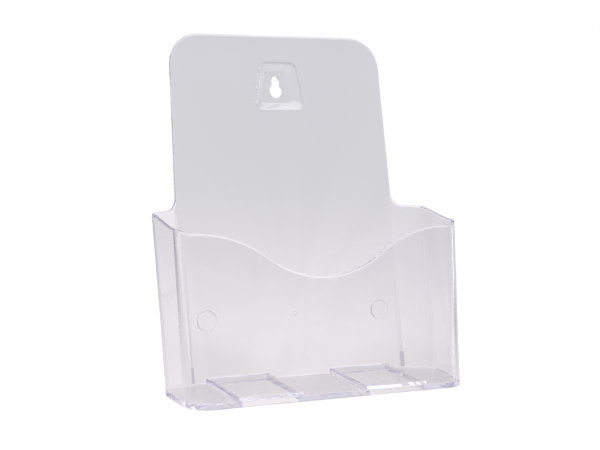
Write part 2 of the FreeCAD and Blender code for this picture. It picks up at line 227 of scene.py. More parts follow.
class Wall:
    """The wall as one sheet: it turns a run, a height and a skin into a place.

    The stretches are measured at RIM_SHARE of the loft's height, and the wall's direction over
    STEP each way. SEARCH_STEPS is how often a search for a run halves its stretch.
    """

    RIM_SHARE = 0.87
    STEP = 0.05
    SEARCH_STEPS = 40

    def __init__(self, plan: WallPlan) -> None:
        """Measure the stretches of the wall near its rim."""
        self.plan = plan
        self.cache: dict[tuple[int, float], list[RoundCorner]] = {}
        low, high = self.corners(0, 0.5), self.corners(1, 0.5)
        near = [(blend_pair(a.start, b.start, self.RIM_SHARE),
                 blend_pair(a.end, b.end, self.RIM_SHARE),
                 blend(a.length(), b.length(), self.RIM_SHARE)) for a, b in zip(low, high)]
        lengths = [
            near[0][0][0], near[0][2], math.dist(near[0][1], near[1][0]), near[1][2],
            math.dist(near[1][1], near[2][0]), near[2][2], near[2][1][0],
        ]
        self.marks = [sum(lengths[:i]) for i in range(len(Stretch) + 1)]

    def corners(self, level: int, skin: float) -> list[RoundCorner]:
        """Return the plan's corners, worked out once for each level and skin."""
        key = (level, round(skin, 6))
        if key not in self.cache:
            self.cache[key] = self.plan.corners(level, skin)
        return self.cache[key]

    def ends(self, stretch: Stretch) -> Pair:
        """Return the run at which a stretch starts and ends."""
        return self.marks[stretch.value], self.marks[stretch.value + 1]

    @property
    def end(self) -> float:
        """Run of the middle of the back."""
        return self.marks[-1]

    def plan_point(self, run: float, level: int, skin: float) -> Pair:
        """Find a point of the wall in plan.

        Args:
            run: Distance along the wall.
            level: 0 on the floor, 1 at the loft's top.
            skin: Share of the wall's thickness from the outside.

        Returns:
            Distance to the side and reach.
        """
        corner = self.corners(level, skin)
        index = 0
        while index < Stretch.PANEL.value and run > self.marks[index + 1]:
            index += 1
        share = (run - self.marks[index]) / (self.marks[index + 1] - self.marks[index])
        stretch = Stretch(index)
        if stretch is Stretch.FRONT:
            plain = self.plan.plain_front
            rest = (run - plain) / (self.marks[1] - plain)
            x = run if run < plain else blend(plain, corner[0].start[0], rest)
            return x, corner[0].start[1]
        if stretch is Stretch.PANEL:
            plain, left = self.plan.plain_back, self.end - run
            rest = (left - plain) / (self.end - self.marks[index] - plain)
            x = left if left < plain else blend(plain, corner[2].end[0], rest)
            return x, corner[2].end[1]
        if stretch in (Stretch.FRONT_CORNER, Stretch.BACK_CORNER, Stretch.BEND):
            return corner[(index - 1) // 2].at(share)
        before = (index - 2) // 2
        return blend_pair(corner[before].end, corner[before + 1].start, share)

    def place(self, run: float, height: float, skin: float) -> Pair:
        """Find a point of the wall at any height, as distance to the side and reach."""
        share = min(height / self.plan.loft_height, 1.0)
        return blend_pair(self.plan_point(run, 0, skin), self.plan_point(run, 1, skin), share)

    def inward(self, run: float, skin: float) -> Pair:
        """Return the unit step from the wall into the pocket in plan, on the floor."""
        if run <= 0.0:
            return 0.0, 1.0
        if run >= self.end:
            return 0.0, -1.0
        a = self.plan_point(max(run - self.STEP, 0.0), 0, skin)
        b = self.plan_point(min(run + self.STEP, self.end), 0, skin)
        along = Vector((b[0] - a[0], b[1] - a[1])).normalized()
        return -along.y, along.x

    def run_at(self, side: float, height: float) -> float:
        """Find the run of the back wall at this distance to the side.

        Args:
            side: Distance to the side.
            height: Height above the floor.

        Returns:
            The run, on the panel, the bend or the wing.
        """
        low, high = self.ends(Stretch.WING)[0], self.end
        for _ in range(self.SEARCH_STEPS):
            middle = (low + high) / 2
            if self.place(middle, height, 0.5)[0] > side:
                low = middle
            else:
                high = middle
        return (low + high) / 2


@dataclass(frozen=True)
class Rim:
    """The wall's top edge all round, in millimetres: the dipped front, the sides, the shoulders
    and the outline of the back panel."""

    height: float = 124.8
    dip_height: float = 90.0
    dip_half_width: float = 105.0
    dip_radius: float = 78.0
    rise_from: float = 107.5
    rise_to: float = 120.5
    rise_height: float = 128.9
    side_front: float = 18.5
    side_back: float = 49.5
    side_height: float = 133.6
    fall_start: float = 110.5
    fall_end: float = 118.0
    shoulder_height: float = 134.2
    shoulder_radius: float = 9.0
    panel_half_foot: float = 95.4
    panel_half_top: float = 91.9
    panel_corner_radius: float = 25.5
    top: float = 271.0
    edge_radius: float = 1.2
    edge_drop: float = 2.0
    edge_steps: int = 6
    shoulder_steps: int = 14
    side_steps: int = 16
    corner_steps: int = 20
    top_steps: int = 10
    search_steps: int = 4

    def front_height(self, side: float) -> float:
        """Return the height of the front rim at this distance to the side."""
        drop = self.height - self.dip_height
        turn = 2 * math.atan2(drop, self.dip_half_width)
        shoulder = self.dip_half_width / math.sin(turn) - self.dip_radius
        if side < self.dip_radius * math.sin(turn):
            return self.dip_height + self.dip_radius - math.sqrt(self.dip_radius**2 - side**2)
        if side < self.dip_half_width:
            away = self.dip_half_width - side
            return self.height - shoulder + math.sqrt(shoulder**2 - away**2)
        return blend(self.height, self.rise_height, smooth(side, self.rise_from, self.rise_to))

    def side_rim(self, reach: float) -> float:
        """Return the height of the side rim at this reach."""
        share = (reach - self.side_front) / (self.side_back - self.side_front)
        return blend(self.rise_height, self.side_height, min(max(share, 0.0), 1.0))

    def back_height(self, side: float) -> float:
        """Return the height of the wing's rim at this distance to the side."""
        share = smooth(side, self.fall_start, self.fall_end)
        return blend(self.shoulder_height, self.side_height, share)

    def height_at(self, wall: Wall, run: float) -> float:
        """Find the rim's height on the front, the corners, the sides and the wings.

        Args:
            wall: The wall that the rim tops.
            run: Distance along the wall.

        Returns:
            Height above the floor.
        """
        height = self.height
        for _ in range(self.search_steps):
            side, reach = wall.place(run, height, 0.5)
            if reach < self.side_front:
                height = self.front_height(side)
            elif reach < self.side_back:
                height = self.side_rim(reach)
            else:
                height = self.back_height(side)
        return height

    def panel_outline(self) -> list[Pair]:
        """Return the outline from the shoulder to the middle of the top, in front view."""
        foot = (self.panel_half_foot, self.shoulder_height)
        tip = (self.panel_half_top, self.top)
        shoulder = RoundCorner.between(
            (self.fall_start, self.shoulder_height), foot, tip, self.shoulder_radius)
        corner = RoundCorner.between(foot, tip, (0.0, self.top), self.panel_corner_radius)
        points = [shoulder.at(s) for s in spread(0, 1, self.shoulder_steps)]
        points += [blend_pair(shoulder.end, corner.start, s)
                   for s in spread(0, 1, self.side_steps)[1:-1]]
        points += [corner.at(s) for s in spread(0, 1, self.corner_steps)]
        points += [blend_pair(corner.end, (0.0, self.top), s)
                   for s in spread(0, 1, self.top_steps)[1:]]
        return points

    def profile(self, wall: float) -> list[Pair]:
        """Return the edge's round profile as distances in from the rim and shares of the wall."""
        quarter = [(self.edge_drop * (1 - math.sin(a)),
                    self.edge_radius * (1 - math.cos(a)) / wall)
                   for a in spread(0, math.pi / 2, self.edge_steps)]
        return quarter + [(inset, 1 - share) for inset, share in reversed(quarter)]


@dataclass
class Draft:
    """A mesh in the making.

    Attributes:
        foot: Place of every point in plan on the floor.
        head: Its place in plan at the loft's top. The blend and the lean come later.
        height: Its height.
        swell: How far the wall is thickened there, as a share of the rib's thickness.
        faces: The faces, as numbers of points.
        TOLERANCE: Distance at which a fill takes two points for one.
    """

    foot: list[Pair] = field(default_factory=list)
    head: list[Pair] = field(default_factory=list)
    height: list[float] = field(default_factory=list)
    swell: list[float] = field(default_factory=list)
    faces: list[Face] = field(default_factory=list)

    TOLERANCE: ClassVar[float] = 1e-7

    def add(self, foot: Pair, head: Pair, height: float, swell: float = 0.0) -> int:
        """Add one point and return its number."""
        self.foot.append(foot)
        self.head.append(head)
        self.height.append(height)
        self.swell.append(swell)
        return len(self.height) - 1

    def bridge(self, first: Row, second: Row, closed: bool = False) -> None:
        """Join two rows of equal length with four-sided faces."""
        count = len(first)
        for i in range(count if closed else count - 1):
            j = (i + 1) % count
            self.faces.append((first[i], first[j], second[j], second[i]))

    def rings(self, rows: list[Row], closed: bool = False) -> None:
        """Join each row to the next."""
        for first, second in zip(rows, rows[1:]):
            self.bridge(first, second, closed)

    def fill(self, outline: Row, flat: dict[int, Pair], holes: tuple[Row, ...] = (),
             lines: tuple[Row, ...] = ()) -> None:
        """Fill an outline with triangles.

        Args:
            outline: Points of the closed outline in order.
            flat: Place of every point that takes part, in the flat pattern.
            holes: Closed outlines that stay open.
            lines: Chains of points that edges must follow.
        """
        numbers = list(flat)
        slots = {number: i for i, number in enumerate(numbers)}
        loops = [outline, *holes]
        edges = [(slots[a], slots[b]) for loop in loops for a, b in loop_pairs(loop)]
        edges += [(slots[a], slots[b]) for line in lines for a, b in zip(line, line[1:])]
        result = delaunay_2d_cdt([Vector(flat[n]) for n in numbers], edges, [], 0,
                                 self.TOLERANCE, True)
        points, triangles, sources = result[0], result[2], result[3]
        if len(points) != len(numbers):
            raise ValueError(f"the pattern's lines cross: {len(numbers)} to {len(points)} points")
        shapes = [[flat[n] for n in loop] for loop in loops]
        inside = []
        for triangle in triangles:
            x = sum(points[i][0] for i in triangle) / 3
            y = sum(points[i][1] for i in triangle) / 3
            if sum(crossings(shape, x, y) for shape in shapes) % 2:
                inside.append(tuple(numbers[sources[i][0]] for i in triangle))
        border = {frozenset(pair) for loop in loops for pair in loop_pairs(loop)}
        self.faces += without_slivers(inside, border)

    def to_mesh(self, name: str) -> bpy.types.Mesh:
        """Make the flat mesh with its foot, head, height and swell attributes, in metres."""
        mesh = bpy.data.meshes.new(name)
        points = [(x * MM, y * MM, z * MM) for (x, y), z in zip(self.foot, self.height)]
        mesh.from_pydata(points, [], self.faces)
        for key, pairs in (("foot", self.foot), ("head", self.head)):
            layer = mesh.attributes.new(key, "FLOAT_VECTOR", "POINT")
            layer.data.foreach_set("vector", [v for x, y in pairs for v in (x * MM, y * MM, 0.0)])
        for key, values in (("height", [z * MM for z in self.height]), ("swell", self.swell)):
            layer = mesh.attributes.new(key, "FLOAT", "POINT")
            layer.data.foreach_set("value", values)
        return mesh


def sides(face: Face) -> list[frozenset[int]]:
    """Return the edges of a face as pairs of points."""
    return [frozenset(pair) for pair in loop_pairs(face)]


def without_slivers(faces: list[Face], border: set[frozenset[int]]) -> list[Face]:
    """Drop the hair-thin triangles that lie along the outside of a straight border.

    Args:
        faces: Triangles of a filled outline.
        border: The outline's own edges.

    Returns:
        The triangles that have a neighbour on every edge but the border's.
    """
    while True:
        uses = Counter(side for face in faces for side in sides(face))
        kept = [face for face in faces
                if all(uses[side] == 2 or side in border for side in sides(face))]
        if len(kept) == len(faces):
            return kept
        faces = kept


def crossings(shape: list[Pair], x: float, y: float) -> int:
    """Count how often a ray to the right of a point crosses a closed outline."""
    count = 0
    for (ax, ay), (bx, by) in loop_pairs(shape):
        if (ay > y) != (by > y) and x < ax + (bx - ax) * (y - ay) / (by - ay):
            count += 1
    return count


@dataclass(frozen=True)
class Floor:
    """The pocket's floor with a raised platform each side, in millimetres.

    Attributes:
        thickness: Thickness of the low floors.
        platform: A platform's two sides.
        heights: Heights of a platform's top at the two reaches in height_reaches.
        skin: Thickness of a platform over its hollow.
        edge_radius: Rounding of the bottom edge.
        fillet: Rounding between the wall and the floor.
        step: A platform's edge, as distances in and shares of its rise.
        hollow_radius: Radius of the hollow's corners.
        hollow_rings: The hollow's edges: growth, height, and whether that is over its ceiling.
        hollow_steps: Steps round one of its corners.
    """

    thickness: float = 3.2
    platform: Pair = (26.5, 79.2)
    heights: Pair = (5.8, 7.6)
    height_reaches: Pair = (-5.0, 90.0)
    skin: float = 2.4
    edge_radius: float = 1.0
    fillet: float = 0.8
    step: tuple[Pair, ...] = (
        (-0.30, 0.0), (-0.10, 0.06), (0.02, 0.25), (0.10, 0.55), (0.20, 0.8), (0.40, 0.95),
        (0.75, 1.0))
    hollow_radius: float = 2.0
    hollow_rings: tuple[tuple[float, float, bool], ...] = (
        (0.5, 0.0, False), (0.12, 0.12, False), (0.0, 0.5, False), (0.0, -0.5, True),
        (-0.12, -0.12, True), (-0.5, 0.0, True))
    hollow_steps: int = 6

    def platform_height(self, reach: float) -> float:
        """Return the height of a platform's top at this reach."""
        front, back = self.height_reaches
        return blend(*self.heights, (reach - front) / (back - front))

    def step_sides(self) -> list[float]:
        """Return the distances to the side of every line along the platforms' edges."""
        inner = [self.platform[0] + out for out, _ in self.step]
        outer = [self.platform[1] - out for out, _ in reversed(self.step)]
        return inner + outer

    def height_at(self, side: float, reach: float) -> float:
        """Return the height of the floor's top at a place in plan."""
        away = min(side - self.platform[0], self.platform[1] - side)
        share = 0.0
        for (out, low), (out_next, high) in zip(self.step, self.step[1:]):
            if away >= out_next:
                share = high
            elif away > out:
                share = blend(low, high, (away - out) / (out_next - out))
        return blend(self.thickness, self.platform_height(reach), share)


@dataclass(frozen=True)
class Recess:
    """The hanging recess, pressed back out of the panel, with its keyhole, in millimetres.

    Attributes:
        height: Height of the recess's middle.
        half_width: Half of its width at its foot and head.
        half_length: Half of its length along the panel.
        radius: Radius of its corners at its mouth and floor.
        depth: Its depth.
        draft: How far its walls draw in over that depth.
        skin: Thickness of its floor and walls.
        hole_radius: Radius of the keyhole's round hole.
        slot_radius: Radius of the slot's end.
        rise: Distance between the middles of the two.
        drop: How far the round hole's middle lies under the recess's.
        front_lip: Rounding of the mouth, as growth and depth.
        front_depths: Depths of the rings down the hollow's walls.
        front_foot: How far over the floor the last of those rings are.
        front_turn: Rounding into the floor, as steps in and heights over it.
        back_lip: Rounding from the panel's back, as growth and distance behind it.
        back_first: Distance behind the panel's back of the first ring on the walls.
        back_middle: Depth of the next.
        back_foot: How far before the outer face the last of those rings are.
        back_turn: Rounding onto the outer face, as growth and distances before it.
        hole_edge: Rounding of the keyhole's two edges, as growth and depth.
    """

    height: float = 230.8
    half_width: Pair = (21.7, 15.8)
    half_length: float = 19.5
    radius: Pair = (6.5, 3.5)
    depth: float = 6.4
    draft: float = 6.4
    skin: float = 2.0
    hole_radius: float = 5.6
    slot_radius: float = 3.35
    rise: float = 8.6
    drop: float = 2.8
    front_lip: tuple[Pair, ...] = ((0.7, 0.0), (0.3, 0.05), (-0.1, 0.22), (-0.4, 0.46))
    front_depths: tuple[float, ...] = (0.9, 2.0, 4.0)
    front_foot: Pair = (1.2, 0.6)
    front_turn: tuple[Pair, ...] = ((0.05, 0.15), (0.8, 0.0))
    back_lip: tuple[Pair, ...] = ((0.7, 0.0), (0.1, 0.12))
    back_first: float = 0.5
    back_middle: float = 4.5
    back_foot: Pair = (1.4, 0.6)
    back_turn: tuple[Pair, ...] = ((0.2, 0.32), (-0.15, 0.12), (-0.7, 0.0))
    hole_edge: tuple[Pair, ...] = ((0.3, 0.0), (0.08, 0.09), (0.0, 0.3))
    arc_steps: int = 10
    side_steps: int = 4
    hole_steps: int = 18
    slot_steps: int = 10

    def outline(self, grow: float, radius: float) -> list[Pair]:
        """Return the right half of an outline, from the middle of its foot to that of its head.

        Args:
            grow: How far the outline stands outside the recess's mouth.
            radius: Radius of its corners.

        Returns:
            Points in the panel's plane, measured from the recess's middle.
        """
        length = self.half_length + grow
        foot = (self.half_width[0] + grow, -length)
        head = (self.half_width[1] + grow, length)
        low = RoundCorner.between((0.0, -length), foot, head, radius)
        high = RoundCorner.between(foot, head, (0.0, length), radius)
        middle = [blend_pair(low.end, high.start, s)
                  for s in spread(0, 1, self.side_steps)[1:-1]]
        return ([(0.0, -length)] + [low.at(s) for s in spread(0, 1, self.arc_steps)] + middle
                + [high.at(s) for s in spread(0, 1, self.arc_steps)] + [(0.0, length)])

    def keyhole(self, grow: float) -> list[Pair]:
        """Return the right half of the keyhole's outline, grown by this much."""
        hole, slot = self.hole_radius + grow, self.slot_radius + grow
        meet = math.asin(slot / hole)
        hole_arc = [(hole * math.sin(a), -self.drop - hole * math.cos(a))
                    for a in spread(0, math.pi - meet, self.hole_steps)]
        slot_arc = [(slot * math.cos(a), self.rise - self.drop + slot * math.sin(a))
                    for a in spread(0, math.pi / 2, self.slot_steps)]
        return ([(0.0, hole_arc[0][1])] + hole_arc[1:] + slot_arc[:-1]
                + [(0.0, slot_arc[-1][1])])

    def front_rings(self) -> list[Pair]:
        """Return growth and depth of the rings from the panel's front into the hollow."""
        shrink, end = self.draft / self.depth, self.depth
        depths = [*self.front_depths, *(end - over for over in self.front_foot)]
        return ([*self.front_lip] + [(-shrink * d, d) for d in depths]
                + [(-self.draft - inset, end - over) for inset, over in self.front_turn])

    def back_rings(self, wall: float) -> list[Pair]:
        """Return growth and depth of the rings from the panel's back over the outside."""
        shrink = self.draft / self.depth
        slant = self.skin / math.cos(math.atan(shrink))
        back = self.depth + self.skin
        foot, tip = slant - shrink * wall, slant - shrink * back
        depths = [wall + self.back_first, self.back_middle,
                  *(back - before for before in self.back_foot)]
        return ([(foot + grow, wall + behind) for grow, behind in self.back_lip]
                + [(slant - shrink * d, d) for d in depths]
                + [(tip + grow, back - before) for grow, before in self.back_turn])

    def keyhole_rings(self) -> list[Pair]:
        """Return growth and depth of the rings through the keyhole."""
        back = self.depth + self.skin
        return ([(grow, self.depth + into) for grow, into in self.hole_edge]
                + [(grow, back - into) for grow, into in reversed(self.hole_edge)])


@dataclass(frozen=True)
class Marks:
    """The small moulded marks on the panel, in millimetres: radii with depths, front to back."""

    pad_height: float = 49.6
    gate_height: float = 51.6
    pad_side: float = 75.5
    pad_rings: tuple[Pair, ...] = (
        (8.5, 0.0), (8.2, 0.2), (7.95, 0.55), (7.7, 0.55), (7.55, 0.2), (7.5, -0.1),
        (7.48, -0.6), (7.36, -0.75), (7.1, -0.8))
    gate_rings: tuple[Pair, ...] = ((1.8, 0.0), (1.62, 0.12), (1.55, 0.5), (1.35, 0.6))
    steps: int = 40


@dataclass(frozen=True)
class BendRib:
    """The short rib up the foot of each bend, inside the pocket, in millimetres.

    Attributes:
        height: Height of the rib's top.
        thickness: How far it stands out of the wall.
        half_width: Half of its width.
        shift: How far it stands to the wing's side of the bend.
        head_fade: Height over which its top runs out.
        columns: Distances of the wall's columns from the bend's two ends.
        rows: Heights of the wall's rows near it.
        bead: Thickness of the shallow swell that goes on up the bend above it.
        bead_top: Height at which the swell has run out.
    """

    height: float = 17.0
    thickness: float = 2.1
    half_width: float = 3.0
    shift: float = 0.6
    head_fade: float = 1.4
    columns: tuple[float, ...] = (0.4, 0.9, 1.4, 1.9, 2.4, 2.9, 3.5)
    rows: tuple[float, ...] = (6.5, 10.0, 14.0, 15.6, 16.1, 16.5, 16.9, 17.4, 19.0)
    bead: float = 1.0
    bead_top: float = 124.0

    def rise(self, away: float, height: float) -> float:
        """Return how far the rib stands out of the wall.

        Args:
            away: Distance along the wall from the middle of the bend.
            height: Height above the floor.

        Returns:
            Thickness added to the wall there.
        """
        arc = math.sqrt(max(1.0 - (away / self.half_width) ** 2, 0.0))
        rib = self.thickness * (1.0 - smooth(height, self.height - self.head_fade,
                                             self.height))
        return arc * max(rib, self.bead * (1.0 - (height / self.bead_top) ** 2), 0.0)


@dataclass(frozen=True)
class Spacing:
    """Where the wall's columns stand, in millimetres and in counts of steps.

    Attributes:
        middle: Stretch from the middle of the front and back to the platforms.
        platform: Stretch over a platform.
        front_outer: Side at which the stretch from the platform to the front corner starts.
        back_outer: Side of the one column between the platform and the bend.
        front_steps: Steps of the front's three stretches.
        back_steps: Steps of the back's two stretches.
        wing_gap: Distance between the wing's own columns and the rib's.
        match: Nearness at which two runs or sides count as the same column.
        end_gap: Distance kept free before the back panel's outline starts.
        rim_gap: Height kept free of rows under the rim.
        rows: Heights of the rows up the curved and twisted stretches.
        bend_top: Height of the last row up the bend.
    """

    middle: Pair = (0.0, 20.0)
    platform: Pair = (30.0, 75.0)
    front_outer: float = 82.0
    back_outer: float = 85.0
    front_steps: tuple[int, int, int] = (8, 18, 10)
    back_steps: tuple[int, int] = (4, 9)
    front_corner_steps: int = 18
    side_steps: int = 8
    back_corner_steps: int = 14
    wing_steps: int = 5
    bend_steps: int = 8
    wing_gap: float = 2.0
    match: float = 0.001
    end_gap: float = 0.3
    rim_gap: float = 4.0
    rows: tuple[float, ...] = (8.0, 22.0, 40.0, 60.0, 80.0, 100.0, 118.0)
    bend_top: float = 129.0


@dataclass
class HolderMoulding:
    """The whole clear moulding, built as one sheet without any inner faces.

    The points of its two halves are welded where they are within WELD of each other.
    """

    plan: WallPlan = field(default_factory=WallPlan)
    rim: Rim = field(default_factory=Rim)
    floor: Floor = field(default_factory=Floor)
    recess: Recess = field(default_factory=Recess)
    marks: Marks = field(default_factory=Marks)
    rib: BendRib = field(default_factory=BendRib)
    spacing: Spacing = field(default_factory=Spacing)

    WELD: ClassVar[float] = 0.002

    def __post_init__(self) -> None:
        """Measure the wall and start an empty draft."""
        self.wall = Wall(self.plan)
        self.draft = Draft()
        self.flat: dict[int, Pair] = {}
        self.rim_runs: list[float] = []
        self.caps: list[Row] = []

    # points -------------------------------------------------------------------------------

    def on_wall(self, run: float, height: float, skin: float) -> int:
        """Add a point of the wall and note its place in the flat pattern."""
        thick = self.with_rib(run, height, skin)
        swell = (thick - skin) * self.plan.wall / self.rib.thickness
        number = self.draft.add(self.wall.plan_point(run, 0, thick),
                                self.wall.plan_point(run, 1, thick), height, swell)
        self.flat[number] = (run, height)
        return number

    @property
    def rib_middle(self) -> float:
        """Run of the rib's middle, a little to the wing's side of the bend."""
        return sum(self.wall.ends(Stretch.BEND)) / 2 - self.rib.shift

    def with_rib(self, run: float, height: float, skin: float) -> float:
        """Return the skin with the rib's thickness added on the inside of the bend."""
        if skin < Skin.INSIDE.value:
            return skin
        away = abs(run - self.rib_middle)
        return skin + self.rib.rise(away, height) / self.plan.wall

    def at(self, side: float, reach: float, height: float) -> int:
        """Add a point at a fixed side, reach and height."""
        return self.draft.add((side, reach), (side, reach), height)

    def on_panel(self, side: float, along: float, level: float, depth: float) -> int:
        """Add a point measured square to the back panel.

        Args:
            side: Distance to the side.
            along: Distance up the panel from the level.
            level: Height of the feature's middle on the panel's front face.
            depth: Distance behind the panel's front face.

        Returns:
            The point's number. Its place in the flat pattern is noted too.
        """
        cos, sin = math.cos(self.plan.lean), math.sin(self.plan.lean)
        reach = self.plan.back_reach - self.plan.level_wall + depth / cos
        height = level + along * cos - depth * sin
        number = self.at(side, reach, height)
        self.flat[number] = (self.wall.end - side, height)
        return number

    # rows ---------------------------------------------------------------------------------

    def runs(self) -> list[float]:
        """Return the runs of the wall's columns, the same on both skins."""
        ends, gaps = self.wall.ends, self.spacing
        edges = self.floor.step_sides()
        middle, over, outer = gaps.front_steps
        front = sorted(spread(*gaps.middle, middle) + edges + spread(*gaps.platform, over)
                       + spread(gaps.front_outer, ends(Stretch.FRONT)[1], outer))
        corner = spread(*ends(Stretch.FRONT_CORNER), gaps.front_corner_steps)[1:]
        side = spread(*ends(Stretch.SIDE), gaps.side_steps)[1:]
        back_corner = spread(*ends(Stretch.BACK_CORNER), gaps.back_corner_steps)[1:]
        bend_start, bend_end = ends(Stretch.BEND)
        before = [bend_start - away for away in self.rib.columns[::-1]]
        after = [bend_end + away for away in self.rib.columns]
        wing = spread(ends(Stretch.WING)[0], before[0] - gaps.wing_gap, gaps.wing_steps)[1:]
        bend = spread(bend_start, bend_end, gaps.bend_steps)
        middle, over = gaps.back_steps
        back = sorted(spread(*gaps.middle, middle) + edges + spread(*gaps.platform, over)
                      + [gaps.back_outer], reverse=True)
        return (front + corner + side + back_corner + wing + before + bend + after
                + [self.wall.end - away for away in back])

    def rim_line(self) -> list[Pair]:
        """Return the rim as runs and heights, from the front's middle to the panel's top."""
        outline = self.rim.panel_outline()
        last = self.wall.run_at(*outline[0]) - self.spacing.end_gap
        line = [(run, self.rim.height_at(self.wall, run)) for run in self.runs() if run < last]
        line += [(self.wall.run_at(x, z) if x > 0 else self.wall.end, z) for x, z in outline]
        return line

    @staticmethod
    def inset(line: list[Pair], distance: float) -> list[Pair]:
        """Move a line sideways into the sheet, keeping its two ends on their own runs."""
        moved = []
        for i, (run, height) in enumerate(line):
            a, b = line[max(i - 1, 0)], line[min(i + 1, len(line) - 1)]
            along = Vector((b[0] - a[0], b[1] - a[1])).normalized()
            step = Vector((along.y, -along.x))
            if i in (0, len(line) - 1):
                step = Vector((0.0, -1.0))
            moved.append((run + step.x * distance, height + step.y * distance))
        return moved

    def add_rim(self) -> tuple[Row, Row]:
        """Build the rounded rim.

        Returns:
            The rows where the rim meets the outside and the inside of the wall.
        """
        line = self.rim_line()
        self.rim_runs = [run for run, _ in line]
        rows = [[self.on_wall(run, height, share) for run, height in self.inset(line, inset)]
                for inset, share in self.rim.profile(self.plan.wall)]
        self.draft.rings(rows)
        return rows[0], rows[-1]

    def columns(self, bottom: Row, top: Row, skin: Skin) -> list[Row]:
        """Add the lines that keep the curved and twisted stretches straight along their height.

        Args:
            bottom: The wall's bottom row.
            top: The row under the rim.
            skin: Which face of the wall.

        Returns:
            Chains of points, one for each column.
        """
        start, end = self.wall.ends(Stretch.FRONT)[1], self.wall.ends(Stretch.BEND)[1]
        end += self.rib.columns[-1]
        gaps = self.spacing
        tops = {round(run, 3): number for run, number in zip(self.rim_runs, top)}
        chains = []
        for foot in bottom:
            run = self.flat[foot][0]
            if not start - gaps.match <= run <= end + gaps.match:
                continue
            chain = [foot]
            under = tops.get(round(run, 3))
            limit = gaps.bend_top if under is None else self.flat[under][1] - gaps.rim_gap
            rows = gaps.rows
            if abs(run - self.rib_middle) < self.rib.half_width + self.rib.columns[-1]:
                rows = self.rib.rows + tuple(h for h in rows if h > self.rib.rows[-1])
            heights = [h for h in rows if h < limit]
            if under is None:
                heights.append(gaps.bend_top)
            chain += [self.on_wall(run, h, skin.value) for h in heights]
            if under is not None:
                chain.append(under)
            chains.append(chain)
        return chains

    # the sheet's parts --------------------------------------------------------------------

    def add_recess(self, outside: bool) -> Row:
        """Build one face of the hanging recess and return the row where it leaves the panel."""
        recess = self.recess
        back = recess.depth + recess.skin
        rows = []
        for grow, depth in (recess.back_rings(self.plan.wall) if outside
                            else recess.front_rings()):
            share = depth / (back if outside else recess.depth)
            extra = recess.skin if outside else 0.0
            radius = blend(recess.radius[0] + extra, recess.radius[1] + extra, share)
            rows.append([self.on_panel(x, along, recess.height, depth)
                         for x, along in recess.outline(grow, radius)])
        self.draft.rings(rows)
        self.caps.append(rows[-1])
        return rows[0]

    def add_keyhole(self) -> None:
        """Build the keyhole's edge and close the recess's two faces round it."""
        rows = [[self.on_panel(x, along, self.recess.height, depth)
                 for x, along in self.recess.keyhole(grow)]
                for grow, depth in self.recess.keyhole_rings()]
        self.draft.rings(rows)
        back_cap, front_cap = self.caps
        for cap, hole in ((front_cap, rows[0]), (back_cap, rows[-1])):
            outline = cap + hole[::-1]
            self.draft.fill(outline, {n: self.flat[n] for n in outline})

    def add_gate(self) -> Row:
        """Build the right half of the gate's stub on the panel's back and return its base row."""
        rows = [[self.on_panel(radius * math.sin(a), -radius * math.cos(a),
                               self.marks.gate_height, self.plan.wall + depth)
                 for a in spread(0, math.pi, self.marks.steps // 2)]
                for radius, depth in self.marks.gate_rings]
        for row in rows:
            self.pin_to_middle(row[0])
            self.pin_to_middle(row[-1])
        self.draft.rings(rows)
        self.draft.faces.append(tuple(rows[-1]))
        return rows[0]

    def add_pad(self) -> Row:
        """Build the round pad on the panel's front and return its base row."""
        rows = [[self.on_panel(self.marks.pad_side + radius * math.cos(a),
                               radius * math.sin(a), self.marks.pad_height, depth)
                 for a in spread(0, 2 * math.pi, self.marks.steps)[:-1]]
                for radius, depth in self.marks.pad_rings]
        self.draft.rings(rows, closed=True)
        self.draft.faces.append(tuple(rows[-1]))
        return rows[0]

    def pin_to_middle(self, number: int) -> None:
        """Put a point exactly on the holder's middle plane."""
        reach = self.draft.foot[number][1]
        self.draft.foot[number] = self.draft.head[number] = (0.0, reach)
        self.flat[number] = (self.wall.end, self.flat[number][1])

    def add_outside(self, top: Row) -> Row:
        """Build the wall's outside with the recess and the gate, and return its bottom row."""
        bottom = [self.on_wall(run, self.floor.edge_radius, Skin.OUTSIDE.value)
                  for run in self.runs()]
        gate, recess = self.add_gate(), self.add_recess(outside=True)
        self.fill_wall(bottom, top, gate + recess, (), Skin.OUTSIDE)
        return bottom

    def add_inside(self, top: Row) -> Row:
        """Build the wall's inside with the recess and the pad, and return its bottom row."""
        bottom = []
        for run in self.runs():
            side, reach = self.wall.plan_point(run, 0, Skin.INSIDE.value)
            height = self.floor.height_at(side, reach) + self.floor.fillet
            bottom.append(self.on_wall(run, height, Skin.INSIDE.value))
        pad, recess = self.add_pad(), self.add_recess(outside=False)
        self.fill_wall(bottom, top, recess, (pad,), Skin.INSIDE)
        return bottom

    def fill_wall(self, bottom: Row, top: Row, middle: Row, holes: tuple[Row, ...],
                  skin: Skin) -> None:
        """Fill one face of the wall.

        Args:
            bottom: The wall's bottom row.
            top: The row under the rim.
            middle: Rows that meet the middle plane of the back, from the lowest up.
            holes: Closed rows that stay open.
            skin: Which face of the wall.
        """
        chains = self.columns(bottom, top, skin)
        outline = bottom + middle + top[::-1]
        taking_part = set(outline) | {n for chain in chains for n in chain}
        taking_part |= {n for hole in holes for n in hole}
        self.draft.fill(outline, {n: self.flat[n] for n in sorted(taking_part)}, holes,
                        tuple(chains))

